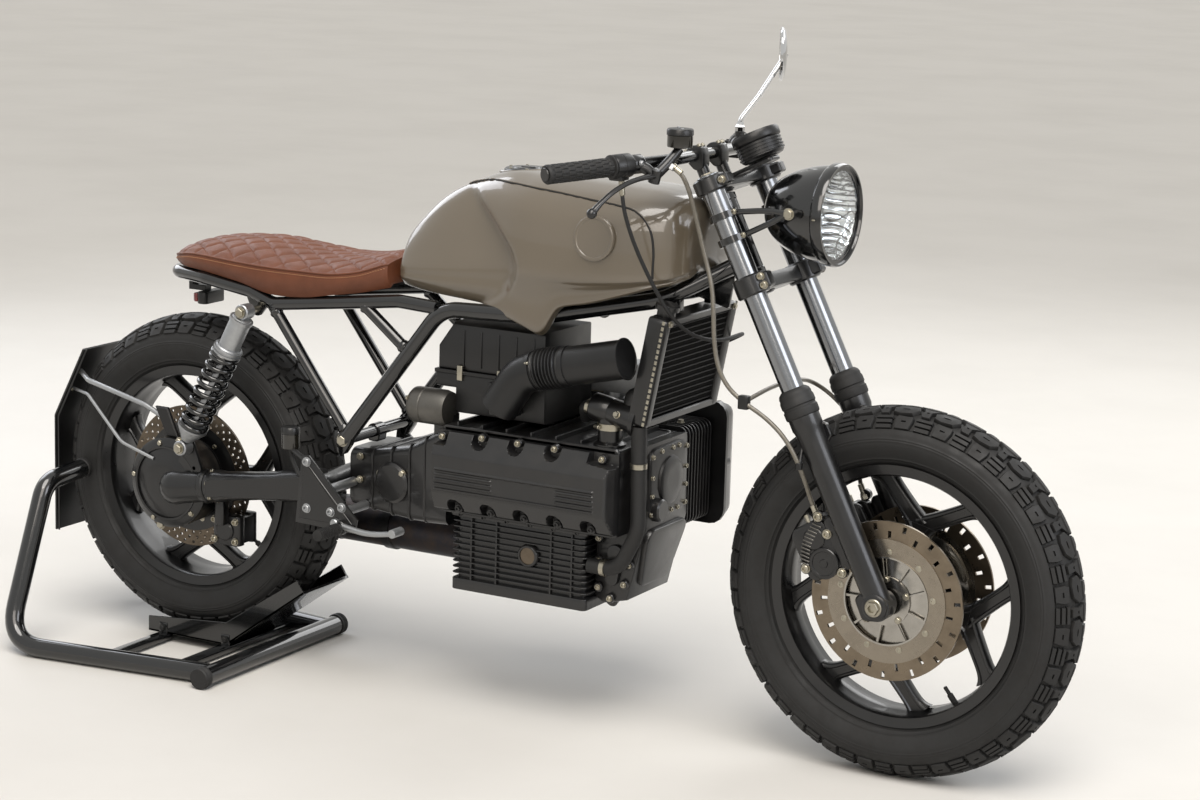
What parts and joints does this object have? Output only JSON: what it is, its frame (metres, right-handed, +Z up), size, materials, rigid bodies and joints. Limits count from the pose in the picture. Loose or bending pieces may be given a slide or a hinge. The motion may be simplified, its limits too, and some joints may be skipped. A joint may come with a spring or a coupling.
{
  "type": "motorcycle",
  "caption": "Cafe racer motorcycle with a taupe tank, tan quilted seat, four cylinder engine and shaft drive, parked on its rear wheel stand.",
  "frame": {"origin": "on the ground, midway between the two axles and on the centre plane of the wheels", "axes": "+X forward, +Y to the rider's left, +Z up"},
  "size_m": [2.1996, 0.7516, 1.287],
  "materials": {
    "tyre_rubber": "black moulded tyre rubber",
    "cast_black": "satin black paint on cast alloy",
    "frame_black": "gloss black powder coat on steel tube",
    "tank_paint": "gloss taupe metallic paint",
    "leather_tan": "quilted tan leather",
    "engine_grey": "grey painted cast aluminium",
    "bare_alloy": "bare cast aluminium",
    "black_plastic": "black moulded plastic",
    "rubber_black": "black rubber",
    "disc_steel": "ground stainless steel",
    "disc_bronze": "heat tinted steel",
    "zinc_steel": "zinc plated steel",
    "chrome": "bright chrome",
    "lamp_glass": "clear ribbed glass",
    "lens_red": "red moulded lens",
    "hose_grey": "light grey brown braided hose",
    "dark_steel": "dark exhaust steel"
  },
  "bodies": {
    "chassis": {"control_cables": "rubber_black", "main_frame": "frame_black", "fuel_tank": "tank_paint", "seat": "leather_tan", "engine_block": "engine_grey", "crankcase_cover": "engine_grey", "cylinder_head": "engine_grey", "head_cover": "cast_black", "oil_pan": "engine_grey", "timing_cover": "engine_grey", "gearbox": "engine_grey", "airbox": "black_plastic", "intake_duct": "black_plastic", "throttle_bodies": "bare_alloy", "radiator": "cast_black", "coolant_hoses": "rubber_black", "exhaust": "dark_steel", "swingarm": "cast_black", "final_drive": "cast_black", "rear_shock": "frame_black", "rear_caliper": "cast_black", "foot_controls": "cast_black", "plate_carrier": "black_plastic", "tail_lamp": "lens_red", "stand_frame": "frame_black", "stand_caps": "rubber_black"},
    "steering": {"fork_clamps": "cast_black", "fork_stanchions": "zinc_steel", "fork_sliders": "cast_black", "front_axle": "zinc_steel", "front_calipers": "cast_black", "headlight": "frame_black", "headlight_lens": "lamp_glass", "gauge": "black_plastic", "handlebar": "frame_black", "grips": "rubber_black", "hand_controls": "black_plastic", "rear_mirror": "chrome", "brake_hoses": "hose_grey"},
    "front_wheel": {"front_rim": "cast_black", "front_tyre": "tyre_rubber", "front_discs": "disc_steel"},
    "rear_wheel": {"rear_rim": "cast_black", "rear_tyre": "tyre_rubber", "rear_disc": "disc_bronze"},
    "fuel_lid": {"fuel_cap": "cast_black"},
    "kick_stand": {"side_stand": "frame_black"}
  },
  "joints": [
    {"name": "steering_head", "type": "hinge", "parent": "chassis", "child": "steering", "pos_m": [0.4029, 0, 0.9329], "axis": [-0.4532, 0, 0.8914], "range_deg": [-30, 30], "deforming": ["control_cables"]},
    {"name": "front_wheel_spin", "type": "hinge", "parent": "steering", "child": "front_wheel", "pos_m": [0.758, 0, 0.3338], "axis": [0, 1, 0], "continuous": true},
    {"name": "rear_wheel_spin", "type": "hinge", "parent": "chassis", "child": "rear_wheel", "pos_m": [-0.758, 0, 0.3451], "axis": [0, 1, 0], "continuous": true},
    {"name": "fuel_lid_hinge", "type": "hinge", "parent": "chassis", "child": "fuel_lid", "pos_m": [0.018, 0, 1.015], "axis": [0, 1, 0], "range_deg": [0, 95]},
    {"name": "side_stand_pivot", "type": "hinge", "parent": "chassis", "child": "kick_stand", "pos_m": [0.152, 0.068, 0.222], "axis": [0, -0.9397, -0.342], "range_deg": [0, 90]}
  ]
}
